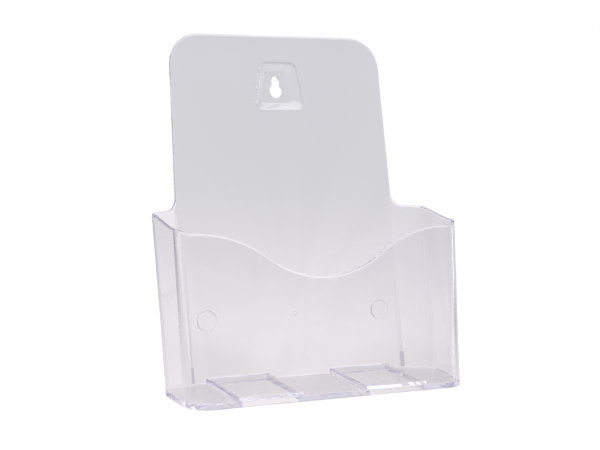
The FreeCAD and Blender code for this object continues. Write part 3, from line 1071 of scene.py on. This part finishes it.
    def shelf(self, bottom: Row, skin: Skin, profile: list[Pair], rise: float) -> Row:
        """Turn from the wall into a level face and return that face's border.

        Args:
            bottom: The wall's bottom row.
            skin: Which face of the wall.
            profile: Steps into the pocket with heights over the level face.
            rise: 1 to follow the floor's top, 0 to stay on the ground.

        Returns:
            The border row.
        """
        rows = [bottom]
        for inset, over in profile:
            row = []
            for number in bottom:
                run = self.flat[number][0]
                thick = self.with_rib(run, over, skin.value)
                side, reach = self.wall.plan_point(run, 0, thick)
                step = self.wall.inward(run, thick)
                level = self.floor.height_at(side, reach) * rise
                row.append(self.at(side + step[0] * inset, reach + step[1] * inset,
                                   level + over))
            rows.append(row)
        self.draft.rings(rows)
        return rows[-1]

    def add_floor(self, bottom: Row) -> None:
        """Build the floor's top with its platforms."""
        border = self.shelf(bottom, Skin.INSIDE, quarter_turn(self.floor.fillet), 1)
        flat = {n: self.draft.foot[n] for n in border}
        middle = self.plan.back_reach / 2
        outermost = self.floor.platform[1] + self.floor.fillet
        front = {round(flat[n][0], 3): n for n in border if flat[n][1] < middle}
        lines = []
        for number in border:
            side, reach = flat[number]
            partner = front.get(round(side, 3))
            across = partner is not None and reach > middle
            if across and self.spacing.match < flat[partner][0] and side < outermost:
                lines.append([partner, number])
        self.draft.fill(border, flat, (), tuple(lines))

    def add_underside(self, bottom: Row) -> None:
        """Build the underside with the hollow under the platform."""
        border = self.shelf(bottom, Skin.OUTSIDE, quarter_turn(self.floor.edge_radius), 0)
        skin, level_wall = self.floor.skin, self.plan.level_wall
        box = (self.floor.platform[0] + skin, self.floor.platform[1] - skin,
               level_wall, self.plan.back_reach - level_wall)
        rows = []
        for grow, over, on_ceiling in self.floor.hollow_rings:
            row = []
            for x, reach in self.hollow_outline(box, grow):
                ceiling = self.floor.platform_height(reach) - skin
                row.append(self.at(x, reach, (ceiling if on_ceiling else 0.0) + over))
            rows.append(row)
        self.draft.rings(rows, closed=True)
        flat = {n: self.draft.foot[n] for n in border + rows[0]}
        self.draft.fill(border, flat, (rows[0],))
        self.draft.fill(rows[-1], {n: self.draft.foot[n] for n in rows[-1]})

    def hollow_outline(self, box: tuple[float, float, float, float],
                       grow: float) -> list[Pair]:
        """Return the rounded outline of a platform's hollow in plan.

        Args:
            box: The hollow's left, right, front and back.
            grow: How far the outline stands outside that box.

        Returns:
            Points of the closed outline.
        """
        left, right, front, back = box
        corners = [(left - grow, front - grow), (right + grow, front - grow),
                   (right + grow, back + grow), (left - grow, back + grow)]
        radius = self.floor.hollow_radius + grow
        points = []
        for i, (corner, after) in enumerate(loop_pairs(corners)):
            arc = RoundCorner.between(corners[i - 1], corner, after, radius)
            points += [arc.at(s) for s in spread(0, 1, self.floor.hollow_steps)]
        return points

    # the finished piece -------------------------------------------------------------------

    def build(self) -> Draft:
        """Build the right half of the moulding."""
        outer_top, inner_top = self.add_rim()
        outer_bottom = self.add_outside(outer_top)
        inner_bottom = self.add_inside(inner_top)
        self.add_keyhole()
        self.add_floor(inner_bottom)
        self.add_underside(outer_bottom)
        return self.draft

    def finish(self, finish: "ClearPlastic") -> bpy.types.Object:
        """Fold, mirror and dress the moulding.

        Args:
            finish: The plastic that it is made of.

        Returns:
            The finished piece, with its place in its mesh.
        """
        half = bpy.data.objects.new("holder_moulding", self.build().to_mesh("holder_half"))
        bpy.context.collection.objects.link(half)
        material = finish.material()
        tree = FoldTree("fold_and_mirror").build()
        tree.apply(half, {
            "Loft Height": self.plan.loft_height * MM,
            "Lean": self.plan.slope,
            "Front Edge": self.plan.front_edge * MM,
            "Weld Distance": self.WELD * MM,
            "Finish": material,
        })
        face_outwards(half.data)
        weigh_normals(half)
        return half


class NodeTree:
    """A node tree in the making."""

    def __init__(self, tree: bpy.types.NodeTree) -> None:
        """Start from an empty tree."""
        self.tree = tree
        self.tree.nodes.clear()

    def node(self, kind: str, inputs: dict[int | str, object] | None = None,
             **settings: object) -> bpy.types.Node:
        """Add a node.

        Args:
            kind: The node's type name.
            inputs: What its inputs get: a socket to link from, or a value.
            settings: The node's own properties.

        Returns:
            The new node.
        """
        node = self.tree.nodes.new(kind)
        for key, value in settings.items():
            setattr(node, key, value)
        for key, value in (inputs or {}).items():
            self.feed(node.inputs[key], value)
        return node

    def feed(self, socket: Socket, value: object) -> None:
        """Link a socket to an input, or set the input to a value."""
        if isinstance(value, Socket):
            self.tree.links.new(value, socket)
        else:
            socket.default_value = value

    def number(self, operation: str, *values: object, clamp: bool = False) -> Socket:
        """Add a Math node and return its result."""
        return self.node("ShaderNodeMath", dict(enumerate(values)), operation=operation,
                         use_clamp=clamp).outputs[0]

    def vector(self, operation: str, *values: object, result: str = "Vector") -> Socket:
        """Add a Vector Math node and return its result."""
        return self.node("ShaderNodeVectorMath", dict(enumerate(values)),
                         operation=operation).outputs[result]

    def ranged(self, value: object, before: Pair = (0.0, 1.0),
               after: tuple[object, object] = (0.0, 1.0), soft: bool = False) -> Socket:
        """Map a value from one range to another, and hold it inside the second.

        Args:
            value: The socket of the value.
            before: The range that it comes from.
            after: The range that it goes to, as numbers or sockets.
            soft: Whether it leaves and meets the range's ends softly.

        Returns:
            The socket of the mapped value.
        """
        return self.node("ShaderNodeMapRange", {
            "Value": value, "From Min": before[0], "From Max": before[1],
            "To Min": after[0], "To Max": after[1]},
            interpolation_type="SMOOTHSTEP" if soft else "LINEAR").outputs[0]

    def noise(self, place: Socket, scale: float, detail: float, roughness: float) -> Socket:
        """Add a noise pattern and return its value."""
        return self.node("ShaderNodeTexNoise", {
            "Vector": place, "Scale": scale, "Detail": detail,
            "Roughness": roughness}).outputs[0]

    def tinted(self, share: Socket, low: object, high: object) -> Socket:
        """Blend from one colour to another."""
        return self.node("ShaderNodeMix", {0: share, 6: low, 7: high},
                         data_type="RGBA").outputs[2]

    def glow(self, colour: object, strength: object) -> Socket:
        """Add a shader that gives off light."""
        return self.node("ShaderNodeEmission", {
            "Color": colour, "Strength": strength}).outputs[0]

    def mixed(self, share: Socket, first: Socket, second: Socket) -> Socket:
        """Blend from one shader to another."""
        return self.node("ShaderNodeMixShader", {0: share, 1: first, 2: second}).outputs[0]

    def shown_apart(self, lighting: Socket, shown: Socket) -> Socket:
        """Light the object with one shader and show another in plain view."""
        seen = self.node("ShaderNodeLightPath").outputs["Is Camera Ray"]
        return self.mixed(seen, lighting, shown)


class FoldTree(NodeTree):
    """Geometry Nodes that blend the wall between its floor and its top outline, lean it back and
    mirror it."""

    NUMBERS = ("Loft Height", "Lean", "Front Edge", "Weld Distance")
    SPENT = ("foot", "head", "height")

    def __init__(self, name: str) -> None:
        """Make the tree with its named inputs."""
        super().__init__(bpy.data.node_groups.new(name, "GeometryNodeTree"))
        sockets = self.tree.interface
        sockets.new_socket("Geometry", in_out="INPUT", socket_type="NodeSocketGeometry")
        for number in self.NUMBERS:
            sockets.new_socket(number, in_out="INPUT", socket_type="NodeSocketFloat")
        sockets.new_socket("Finish", in_out="INPUT", socket_type="NodeSocketMaterial")
        sockets.new_socket("Geometry", in_out="OUTPUT", socket_type="NodeSocketGeometry")

    def attribute(self, name: str, kind: str) -> Socket:
        """Read a named attribute."""
        return self.node("GeometryNodeInputNamedAttribute", {"Name": name},
                         data_type=kind).outputs["Attribute"]

    def moved(self, geometry: Socket, place: Socket) -> Socket:
        """Put every point of a geometry in a new place."""
        return self.node("GeometryNodeSetPosition", {
            "Geometry": geometry, "Position": place}).outputs[0]

    def build(self) -> "FoldTree":
        """Build the nodes: blend, lean, mirror, weld, smooth and dress."""
        start = self.node("NodeGroupInput").outputs
        height = self.attribute("height", "FLOAT")
        share = self.number("DIVIDE", height, start["Loft Height"], clamp=True)
        foot = self.attribute("foot", "FLOAT_VECTOR")
        span = self.vector("SUBTRACT", self.attribute("head", "FLOAT_VECTOR"), foot)
        part = self.node("ShaderNodeVectorMath", {0: span, "Scale": share}, operation="SCALE")
        plan = self.vector("ADD", foot, part.outputs[0])
        leant = self.number("MULTIPLY", height, start["Lean"])
        back = self.number("ADD", leant, start["Front Edge"])
        lean = self.node("ShaderNodeCombineXYZ", {"Y": back, "Z": height})
        right = self.moved(start["Geometry"], self.vector("ADD", plan, lean.outputs[0]))
        here = self.node("GeometryNodeInputPosition").outputs[0]
        left = self.moved(right, self.vector("MULTIPLY", here, (-1.0, 1.0, 1.0)))
        turned = self.node("GeometryNodeFlipFaces", {"Mesh": left})
        both = self.node("GeometryNodeJoinGeometry", {"Geometry": turned.outputs[0]})
        self.feed(both.inputs["Geometry"], right)
        welded = self.node("GeometryNodeMergeByDistance", {
            "Geometry": both.outputs[0], "Distance": start["Weld Distance"]})
        rounded = self.node("GeometryNodeSetShadeSmooth", {"Geometry": welded.outputs[0]})
        real = self.node("GeometryNodeRealizeInstances", {"Geometry": rounded.outputs[0]})
        dressed = self.node("GeometryNodeSetMaterial", {
            "Geometry": real.outputs[0], "Material": start["Finish"]})
        self.node("NodeGroupOutput", {"Geometry": dressed.outputs[0]})
        return self

    def apply(self, piece: bpy.types.Object, values: dict[str, object]) -> None:
        """Run the tree on a piece and keep the result as its plain mesh.

        Args:
            piece: The object that the tree works on.
            values: What each named input gets.
        """
        modifier = piece.modifiers.new("fold", "NODES")
        modifier.node_group = self.tree
        for item in self.tree.interface.items_tree:
            if item.in_out == "INPUT" and item.name in values:
                modifier[item.identifier] = values[item.name]
        keep_result(piece)
        for name in self.SPENT:
            piece.data.attributes.remove(piece.data.attributes[name])


def keep_result(piece: bpy.types.Object) -> None:
    """Make a plain mesh of what a piece's modifiers give, and take the modifiers off."""
    graph = bpy.context.evaluated_depsgraph_get()
    mesh = bpy.data.meshes.new_from_object(piece.evaluated_get(graph))
    mesh.name = piece.name
    piece.modifiers.clear()
    piece.data = mesh


def face_outwards(mesh: bpy.types.Mesh) -> None:
    """Turn every face of a closed mesh outwards and log whether the mesh is closed."""
    work = bmesh.new()
    work.from_mesh(mesh)
    bmesh.ops.recalc_face_normals(work, faces=work.faces)
    if work.calc_volume(signed=True) < 0:
        bmesh.ops.reverse_faces(work, faces=work.faces)
    loose = sum(not edge.is_manifold for edge in work.edges)
    log.info("%s: %d faces, %.1f cm3, %d open edges", mesh.name, len(work.faces),
             work.calc_volume() / CUBIC_CM, loose)
    work.to_mesh(mesh)
    work.free()


def weigh_normals(piece: bpy.types.Object) -> None:
    """Shade flat faces flat and their rounded edges round."""
    modifier = piece.modifiers.new("weigh", "WEIGHTED_NORMAL")
    modifier.mode = "FACE_AREA"
    modifier.weight = 50
    keep_result(piece)


@dataclass(frozen=True)
class ClearPlastic:
    # The bends' colour is partly the thick plastic's tint and partly painted shade: a darker base
    # colour along the ribs and the bead up each bend.
    """Clear moulded plastic with a faint cool tint, soft moulding waves and light scuffs.

    Attributes:
        name: The material's name.
        tint: Tint of the plain surface.
        streak_tint: Tint of the flow streaks that run out from the gate.
        rib_tint_and_painted_shade: Tint of the thick plastic at the bends, where the swell
            attribute is high. It is darkened beyond the plastic's own tint as painted shade.
        refraction: Index of refraction.
        absorb: Colour that the plastic keeps in depth.
        absorb_density: How strongly it does so.
        roughness: Roughness of the clean and of the scuffed surface.
        waves: Scale, detail and roughness of the moulding waves.
        streaks: The same of the flow streaks.
        scuffs: The same of the scuffs.
        streak_range: Part of the streaks' pattern over which their tint comes in.
        scuff_range: Part of the scuffs' pattern over which they come in.
        rib_shade_swell_range: Part of the swell over which the bends' tint and painted shade come
            in.
        wave_depth: Depth of the moulding waves, in metres.
        gate: Place of the mould's gate, in metres.
    """

    name: str = "clear_plastic"
    tint: Colour = (0.985, 0.985, 0.992, 1.0)
    streak_tint: Colour = (0.965, 0.965, 0.978, 1.0)
    rib_tint_and_painted_shade: Colour = (0.5, 0.49, 0.57, 1.0)
    refraction: float = 1.585
    absorb: Colour = (0.84, 0.83, 0.91, 1.0)
    absorb_density: float = 10.0
    roughness: Pair = (0.012, 0.045)
    waves: Place = (16.0, 1.5, 0.4)
    streaks: Place = (3.5, 3.0, 0.5)
    scuffs: Place = (420.0, 4.0, 0.7)
    streak_range: Pair = (0.4, 0.65)
    scuff_range: Pair = (0.45, 0.8)
    rib_shade_swell_range: Pair = (0.25, 0.75)
    wave_depth: float = 0.00006
    gate: Place = (0.0, 0.012, 0.0496)

    def material(self) -> bpy.types.Material:
        """Build the material on object coordinates."""
        material = bpy.data.materials.new(self.name)
        material.use_nodes = True
        tree = NodeTree(material.node_tree)
        place = tree.node("ShaderNodeTexCoord").outputs["Object"]
        from_gate = tree.vector("SUBTRACT", place, self.gate)
        waves = tree.noise(from_gate, *self.waves)
        streaks = tree.noise(tree.vector("NORMALIZE", from_gate), *self.streaks)
        scuffs = tree.noise(place, *self.scuffs)
        flow = tree.tinted(tree.ranged(streaks, self.streak_range), self.tint,
                           self.streak_tint)
        # Mask of the swell: the base colour darkens along the ribs and bends. This is partly tint
        # and partly painted shade.
        swell = tree.node("ShaderNodeAttribute", attribute_name="swell").outputs["Fac"]
        thick = tree.ranged(swell, self.rib_shade_swell_range, soft=True)
        bump = tree.node("ShaderNodeBump", {
            "Height": waves, "Strength": 1.0, "Distance": self.wave_depth})
        shader = tree.node("ShaderNodeBsdfPrincipled", {
            "Base Color": tree.tinted(thick, flow, self.rib_tint_and_painted_shade),
            "Roughness": tree.ranged(scuffs, self.scuff_range, self.roughness),
            "Normal": bump.outputs[0], "IOR": self.refraction, "Transmission Weight": 1.0})
        depth = tree.node("ShaderNodeVolumeAbsorption", {
            "Color": self.absorb, "Density": self.absorb_density})
        tree.node("ShaderNodeOutputMaterial", {
            "Surface": shader.outputs[0], "Volume": depth.outputs[0]})
        return material


@dataclass(frozen=True)
class SoftBox:
    """One soft light of the studio.

    Attributes:
        name: The light's name.
        place: Its middle, in metres.
        aim: The point that it faces.
        size: Its width and height.
        power: Its power, in watts.
    """

    name: str
    place: Place
    aim: Place
    size: Pair
    power: float

    def build(self) -> None:
        """Add the light to the scene."""
        light = bpy.data.lights.new(self.name, "AREA")
        light.shape = "RECTANGLE"
        light.size, light.size_y = self.size
        light.energy = self.power
        lamp = bpy.data.objects.new(self.name, light)
        away = Vector(self.place) - Vector(self.aim)
        lamp.matrix_world = (Matrix.Translation(self.place)
                             @ away.to_track_quat("Z", "Y").to_matrix().to_4x4())
        lamp.visible_camera = False
        bpy.context.collection.objects.link(lamp)


@dataclass(frozen=True)
class SideFall:
    """How the room dims from straight ahead towards its two sides.

    Attributes:
        yaw: Turn of the room about the upright.
        turn: Where the dimming starts and ends, from 0 straight ahead to 1 at the side.
        dim: Share of the brightness that is left at the sides.
    """

    yaw: float
    turn: Pair = (0.3, 0.8)
    dim: float = 0.64

    def brightness(self, tree: NodeTree, direction: Socket) -> Socket:
        """Return how bright the room is in a direction.

        Args:
            tree: The world's or the floor's tree.
            direction: Unit direction from the object.

        Returns:
            The socket of the brightness.
        """
        across = (math.cos(self.yaw), math.sin(self.yaw), 0.0)
        dot = tree.vector("DOT_PRODUCT", direction, across, result="Value")
        return tree.ranged(tree.number("ABSOLUTE", dot), self.turn, (1.0, self.dim), soft=True)


@dataclass(frozen=True)
class Room:
    """The room: plain white in view, and soft grey card in what the object lets through.

    Attributes:
        fall: How it dims to the sides.
        greys: Its greys from straight down, 0, to straight up, 1.
        cast: The greys' faint colour cast.
        white: Brightness of the plain white.
    """

    fall: SideFall
    greys: tuple[Pair, ...] = ((0.0, 0.7), (0.5, 0.7), (0.55, 0.6), (0.63, 0.55), (0.74, 0.72),
                               (0.9, 0.85), (1.0, 0.9))
    cast: Place = (1.0, 0.992, 1.045)
    white: float = 1.0

    def build(self) -> None:
        """Make the room the scene's world."""
        world = bpy.data.worlds.new("studio")
        world.use_nodes = True
        bpy.context.scene.world = world
        tree = NodeTree(world.node_tree)
        direction = tree.node("ShaderNodeTexCoord").outputs["Generated"]
        up = tree.node("ShaderNodeSeparateXYZ", {0: direction}).outputs["Z"]
        ramp = tree.node("ShaderNodeValToRGB", {0: tree.ranged(up, (-1.0, 1.0))})
        bar = ramp.color_ramp
        while len(bar.elements) < len(self.greys):
            bar.elements.new(0.5)
        for element, (place, grey) in zip(bar.elements, self.greys):
            element.position = place
            element.color = (*(grey * part for part in self.cast), 1.0)
        card = tree.node("ShaderNodeBackground", {
            "Color": ramp.outputs[0], "Strength": self.fall.brightness(tree, direction)})
        white = tree.node("ShaderNodeBackground", {"Color": WHITE, "Strength": self.white})
        tree.node("ShaderNodeOutputWorld", {
            "Surface": tree.shown_apart(card.outputs[0], white.outputs[0])})


@dataclass(frozen=True)
class PaperFloor:
    """The pale paper that the object stands on. Lengths are in metres.

    Attributes:
        fall: How it dims to the sides, as the room does.
        half: Half of its width.
        drop: How far it lies under the object, so that the two never share a face.
        near: Brightness near the object, as the object lets it through.
        far: The same, far away.
        pool_reach: Distance over which the near brightness fades.
        pool_width: Its spread across, as a share of its spread forwards.
        near_tint: Its tint near the object.
        far_tint: Its tint far away.
        shade: How much darker it is right under the object.
        shade_reach: Radius of that shade.
        tone: Tone of the paper in plain view.
        tone_change: How far its grain goes either way from that.
        grain: Scale, detail and roughness of the grain.
        lift: Light that the paper gives off in plain view.
        fade: Where the paper starts and ends its run-out into plain white.
    """

    fall: SideFall
    half: float = 12.0
    drop: float = 0.0002
    near: float = 1.1
    far: float = 0.7
    pool_reach: float = 0.55
    pool_width: float = 0.5
    near_tint: Colour = (1.0, 0.95, 0.955, 1.0)
    far_tint: Colour = (1.0, 0.988, 1.03, 1.0)
    shade: float = 0.12
    shade_reach: float = 0.15
    tone: float = 0.86
    tone_change: float = 0.01
    grain: Place = (300.0, 2.0, 0.5)
    lift: float = 0.28
    fade: Pair = (0.20, 0.55)

    def card(self, tree: NodeTree, place: Socket, away: Socket) -> Socket:
        """Build the floor as the object lets it through: brightest near the object.

        Args:
            tree: The material's tree.
            place: Place on the floor.
            away: Distance from the object's middle.

        Returns:
            The socket of the shader.
        """
        pool = tree.node("ShaderNodeMapping", {
            "Vector": place, "Rotation": (0.0, 0.0, self.fall.yaw),
            "Scale": (self.pool_width, 1.0, 1.0)}, vector_type="TEXTURE")
        reach = tree.vector("LENGTH", pool.outputs[0], result="Value")
        fade = tree.number("EXPONENT", tree.number("DIVIDE", reach, -self.pool_reach))
        outward = tree.vector("NORMALIZE", place)
        far = tree.number("MULTIPLY", self.fall.brightness(tree, outward), self.far)
        glow = tree.ranged(fade, after=(far, self.near))
        radii = tree.number("DIVIDE", away, self.shade_reach)
        square = tree.number("POWER", radii, 2.0)
        shadow = tree.number("EXPONENT", tree.number("MULTIPLY", square, -1.0))
        shaded = tree.number("MULTIPLY_ADD", shadow, -self.shade, glow)
        return tree.glow(tree.tinted(fade, self.far_tint, self.near_tint), shaded)

    def paper(self, tree: NodeTree, place: Socket, away: Socket) -> Socket:
        """Build the floor in plain view: grained paper that runs out into white.

        Args:
            tree: The material's tree.
            place: Place on the floor.
            away: Distance from the object's middle.

        Returns:
            The socket of the shader.
        """
        ends = (self.tone - self.tone_change, self.tone + self.tone_change)
        tone = tree.ranged(tree.noise(place, *self.grain), after=ends)
        matte = tree.node("ShaderNodeBsdfDiffuse", {"Color": tone})
        paper = tree.node("ShaderNodeAddShader", {
            0: matte.outputs[0], 1: tree.glow(WHITE, self.lift)})
        return tree.mixed(tree.ranged(away, self.fade, soft=True), paper.outputs[0],
                          tree.glow(WHITE, 1.0))

    def material(self) -> bpy.types.Material:
        """Build the paper's material."""
        material = bpy.data.materials.new("pale_paper")
        material.use_nodes = True
        tree = NodeTree(material.node_tree)
        place = tree.node("ShaderNodeTexCoord").outputs["Object"]
        away = tree.vector("LENGTH", place, result="Value")
        tree.node("ShaderNodeOutputMaterial", {"Surface": tree.shown_apart(
            self.card(tree, place, away), self.paper(tree, place, away))})
        return material

    def build(self) -> None:
        """Lay the floor just under the object."""
        half = self.half
        mesh = bpy.data.meshes.new("studio_floor")
        mesh.from_pydata([(-half, -half, 0.0), (half, -half, 0.0), (half, half, 0.0),
                          (-half, half, 0.0)], [], [(0, 1, 2, 3)])
        mesh.materials.append(self.material())
        sheet = bpy.data.objects.new("studio_floor", mesh)
        sheet.location.z = -self.drop
        bpy.context.collection.objects.link(sheet)


@dataclass(frozen=True)
class Viewpoint:
    """Where the camera stands.

    Attributes:
        yaw: Its turn about the upright from straight in front.
        pitch: How far it looks down.
        roll: Its turn about its own line of sight.
        distance: Its distance from the point that it looks at, in metres.
        aim: That point.
        lens: Its focal length, in millimetres.
        clip_end: How far it sees, in metres.
    """

    yaw: float = math.radians(-25.331)
    pitch: float = math.radians(6.931)
    roll: float = math.radians(1.315)
    distance: float = 1.037836
    aim: Place = (-0.015111, -0.024735, 0.127281)
    lens: float = 81.67
    clip_end: float = 100.0

    def build(self) -> None:
        """Add the camera and make it the scene's own."""
        cos, sin = math.cos(self.pitch), math.sin(self.pitch)
        back = Vector((math.sin(self.yaw) * cos, -math.cos(self.yaw) * cos, sin))
        level = (-back).cross(Vector((0.0, 0.0, 1.0))).normalized()
        upright = level.cross(-back)
        side = level * math.cos(self.roll) + upright * math.sin(self.roll)
        top = upright * math.cos(self.roll) - level * math.sin(self.roll)
        data = bpy.data.cameras.new("camera")
        data.lens = self.lens
        data.clip_end = self.clip_end
        camera = bpy.data.objects.new("camera", data)
        turn = Matrix((side, top, back)).transposed().to_4x4()
        camera.matrix_world = Matrix.Translation(Vector(self.aim) + back * self.distance) @ turn
        bpy.context.collection.objects.link(camera)
        bpy.context.scene.camera = camera


@dataclass(frozen=True)
class Studio:
    """Plain pale floor, soft lights, and the camera.

    Attributes:
        viewpoint: Where the camera stands.
        bounces: How often light is followed on inside the clear walls.
        boxes: The soft lights.
    """

    viewpoint: Viewpoint = Viewpoint()
    bounces: int = 128
    boxes: tuple[SoftBox, ...] = (
        SoftBox("overhead_box", (0.0, 0.0, 2.2), (0.0, 0.0, 0.0), (4.8, 4.8), 61.0),
        SoftBox("left_box", (-1.18, 0.55, 0.35), (-0.1, 0.0, 0.1), (0.7, 0.9), 3.4),
        SoftBox("right_box", (1.22, -0.44, 0.35), (0.1, 0.0, 0.1), (0.5, 0.9), 1.6),
        SoftBox("right_side_box", (1.3, 0.15, 0.35), (0.1, 0.0, 0.1), (0.4, 0.9), 0.7),
    )

    def build(self) -> None:
        """Set up the whole studio."""
        fall = SideFall(self.viewpoint.yaw)
        for part in (Room(fall), PaperFloor(fall), *self.boxes, self.viewpoint):
            part.build()
        scene = bpy.context.scene
        scene.view_settings.view_transform = "Standard"
        for kind in ("max_bounces", "transmission_bounces", "glossy_bounces"):
            setattr(scene.cycles, kind, self.bounces)
        log.info("studio: %d soft boxes", len(self.boxes))


def main() -> None:
    """Build the holder and its studio."""
    logging.basicConfig(level=logging.INFO, format="%(name)s: %(message)s")
    moulding = HolderMoulding().finish(ClearPlastic())
    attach(moulding, "root")
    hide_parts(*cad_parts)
    log.info("%s stands for %d regions", moulding.name, len(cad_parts))
    Studio().build()


if __name__ == "__main__":
    main()
